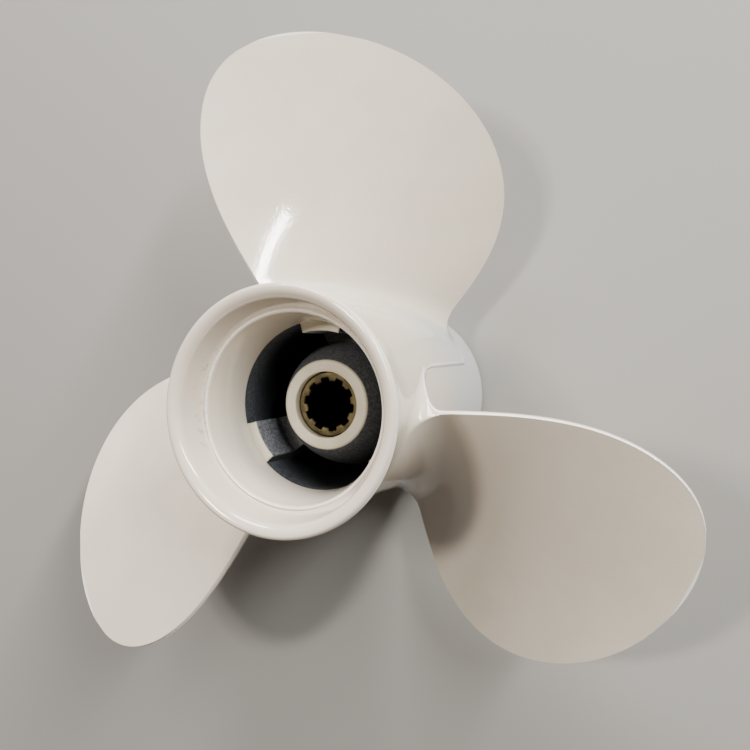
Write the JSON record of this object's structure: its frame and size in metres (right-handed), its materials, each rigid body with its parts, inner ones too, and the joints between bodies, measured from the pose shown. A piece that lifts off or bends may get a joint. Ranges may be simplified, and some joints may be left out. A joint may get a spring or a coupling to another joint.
{
  "type": "boat propeller",
  "caption": "Outboard boat propeller: enamelled aluminium casting with helical blades, a through-hub exhaust with a bell mouth, and a splined brass sleeve in a rubber cushion.",
  "frame": {"origin": "on the shaft axis, in the plane of the outer hub's forward annular face", "axes": "+Z along the shaft, pointing aft out of the bell mouth; the first blade's reference ray lies along +Y"},
  "size_m": [0.2297, 0.2226, 0.1095],
  "materials": {
    "enamel": "glossy off-white enamel over cast aluminium",
    "bare_casting": "dark, sooted casting with overspray on the aft faces",
    "rubber": "matte moulded rubber",
    "brass": "machined, dull"
  },
  "bodies": {
    "cushion_core": {"splined_sleeve": "brass", "rubber_bush": "rubber"},
    "casting": {"exhaust_barrel": "enamel", "flare_ring": "enamel", "hub_shell": "bare_casting", "web_1": "bare_casting", "web_2": "bare_casting", "web_3": "bare_casting", "blade_1": "enamel", "blade_2": "enamel", "blade_3": "enamel"}
  },
  "joints": [
    {"name": "hub_slip", "type": "hinge", "parent": "cushion_core", "child": "casting", "pos_m": [0, 0, 0.0318], "axis": [0, 0, 1], "continuous": true}
  ]
}
